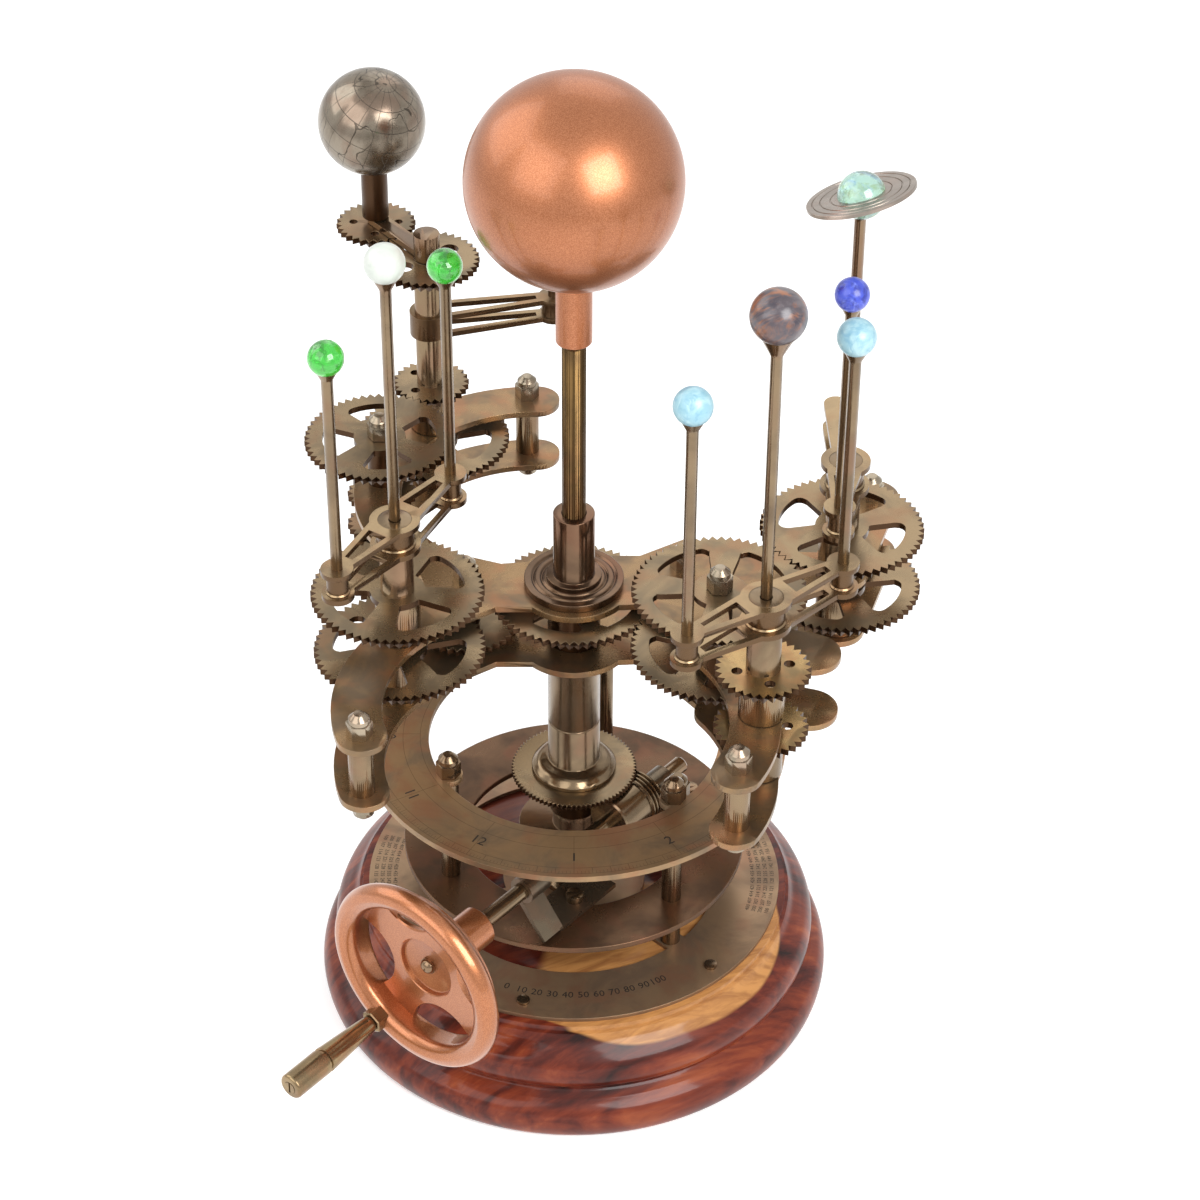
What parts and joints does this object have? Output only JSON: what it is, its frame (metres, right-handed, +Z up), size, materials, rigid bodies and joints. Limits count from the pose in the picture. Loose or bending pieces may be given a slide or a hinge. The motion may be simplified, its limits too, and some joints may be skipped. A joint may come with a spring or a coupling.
{
  "type": "orrery",
  "caption": "Hand-cranked geared orrery: a turning carriage of planet gear trains on a fixed spindle and wooden base, with ball planets, a globe and a large central sun.",
  "frame": {"origin": "centre of the wooden base's underside", "axes": "+Z up the central spindle, +Y away from the side where the handwheel stands in front, +X to the right of that side"},
  "size_m": [0.2869, 0.3447, 0.486],
  "materials": {
    "rosewood": "turned and lacquered",
    "antique_brass": "aged, half-polished",
    "dark_bronze": "dark patina, polished",
    "copper_lacquer": "satin metallic lacquer",
    "white_stone": "polished opaque ball",
    "brown_stone": "polished opaque ball",
    "green_glass": "swirled glass",
    "sky_stone": "polished opaque ball",
    "blue_stone": "polished opaque ball",
    "clear_glass": "clear glass with green swirls"
  },
  "bodies": {
    "frame": {"wood_base": "rosewood", "base_plate": "antique_brass", "frame_bolts": "dark_bronze", "ring_posts": "dark_bronze", "lower_disc": "antique_brass", "scale_ring": "antique_brass", "ring_nuts": "dark_bronze", "pedestal": "dark_bronze", "central_spindle": "dark_bronze", "sun_gear": "antique_brass", "shaft_bearings": "dark_bronze", "sun_socket": "copper_lacquer", "sun_ball": "copper_lacquer"},
    "carriage": {"drive_wheel": "antique_brass", "column": "dark_bronze", "lower_plate": "antique_brass", "upper_plate": "antique_brass", "plate_pillars": "dark_bronze", "pillar_nuts": "dark_bronze", "idler_studs": "dark_bronze", "grooved_disc": "dark_bronze", "top_sleeve": "dark_bronze", "centre_rods": "dark_bronze", "white_ball": "white_stone", "brown_ball": "brown_stone", "ringed_ball": "clear_glass", "planet_ring": "dark_bronze"},
    "crank": {"crank_shaft": "dark_bronze", "worm": "dark_bronze", "handwheel": "copper_lacquer", "handle_fittings": "dark_bronze"},
    "grip": {"handle_grip": "dark_bronze"},
    "transfer": {"transfer_gear": "antique_brass"},
    "rear_idler_wheel": {"rear_idler": "antique_brass"},
    "cluster": {"rear_cluster": "antique_brass"},
    "left_group": {"left_gears": "antique_brass", "left_tube": "dark_bronze", "left_arm": "antique_brass", "left_rods": "dark_bronze", "green_balls": "green_glass"},
    "right_idler_wheel": {"right_idler": "antique_brass"},
    "right_group": {"right_pinions": "antique_brass", "right_tube": "dark_bronze", "right_arm": "antique_brass", "right_rods": "dark_bronze", "sky_balls": "sky_stone"},
    "far_group": {"far_gears": "antique_brass", "far_tube": "dark_bronze", "far_arm": "antique_brass", "far_rod": "dark_bronze", "blue_ball": "blue_stone"},
    "earth_outer": {"earth_gears": "antique_brass", "earth_tube": "dark_bronze", "long_arm": "antique_brass", "small_ball": "dark_bronze"},
    "earth_inner": {"earth_wheel": "antique_brass", "earth_spindle": "dark_bronze"},
    "globe_group": {"globe_post": "dark_bronze", "globe": "dark_bronze"}
  },
  "joints": [
    {"name": "carriage_turn", "type": "hinge", "parent": "frame", "child": "carriage", "pos_m": [0, 0, 0.2], "axis": [0, 0, 1], "continuous": true},
    {"name": "crank_turn", "type": "hinge", "parent": "frame", "child": "crank", "pos_m": [0.02015, -0.0169, 0.108], "axis": [0.6428, 0.766, 0], "continuous": true},
    {"name": "grip_spin", "type": "hinge", "parent": "crank", "child": "grip", "pos_m": [-0.09178, -0.1188, 0.07293], "axis": [0.6428, 0.766, 0], "continuous": true},
    {"name": "transfer_turn", "type": "hinge", "parent": "carriage", "child": "transfer", "pos_m": [-0.04866, 0.00289, 0.215], "axis": [0, 0, 1], "continuous": true},
    {"name": "left_turn", "type": "hinge", "parent": "carriage", "child": "left_group", "pos_m": [-0.07698, -0.03755, 0.24], "axis": [0, 0, 1], "continuous": true},
    {"name": "rear_idler_turn", "type": "hinge", "parent": "carriage", "child": "rear_idler_wheel", "pos_m": [-0.0792, 0.03928, 0.207], "axis": [0, 0, 1], "continuous": true},
    {"name": "cluster_turn", "type": "hinge", "parent": "carriage", "child": "cluster", "pos_m": [-0.08998, 0.07845, 0.23], "axis": [0, 0, 1], "continuous": true},
    {"name": "earth_outer_turn", "type": "hinge", "parent": "carriage", "child": "earth_outer", "pos_m": [-0.06779, 0.12395, 0.28], "axis": [0, 0, 1], "continuous": true},
    {"name": "earth_inner_turn", "type": "hinge", "parent": "carriage", "child": "earth_inner", "pos_m": [-0.06779, 0.12395, 0.26], "axis": [0, 0, 1], "continuous": true},
    {"name": "globe_turn", "type": "hinge", "parent": "earth_inner", "child": "globe_group", "pos_m": [-0.0928, 0.15596, 0.33], "axis": [0, 0, 1], "continuous": true},
    {"name": "right_idler_turn", "type": "hinge", "parent": "carriage", "child": "right_idler_wheel", "pos_m": [0.06348, -0.03754, 0.23], "axis": [0, 0, 1], "continuous": true},
    {"name": "right_turn", "type": "hinge", "parent": "carriage", "child": "right_group", "pos_m": [0.08011, -0.09193, 0.24], "axis": [0, 0, 1], "continuous": true},
    {"name": "far_turn", "type": "hinge", "parent": "carriage", "child": "far_group", "pos_m": [0.11974, 0.00917, 0.24], "axis": [0, 0, 1], "continuous": true}
  ],
  "couplings": [
    {"joint": "crank_turn", "follows": "carriage_turn", "ratio": 20.5},
    {"joint": "transfer_turn", "follows": "carriage_turn", "ratio": 2.9},
    {"joint": "left_turn", "follows": "carriage_turn", "ratio": -0.98305},
    {"joint": "rear_idler_turn", "follows": "carriage_turn", "ratio": -2.61},
    {"joint": "cluster_turn", "follows": "carriage_turn", "ratio": 4.176},
    {"joint": "earth_outer_turn", "follows": "carriage_turn", "ratio": -8.352},
    {"joint": "earth_inner_turn", "follows": "carriage_turn", "ratio": -1.7583},
    {"joint": "globe_turn", "follows": "carriage_turn", "ratio": 8.7131},
    {"joint": "right_idler_turn", "follows": "carriage_turn", "ratio": 0.96667},
    {"joint": "right_turn", "follows": "carriage_turn", "ratio": -1.871},
    {"joint": "far_turn", "follows": "carriage_turn", "ratio": -1.0175}
  ]
}
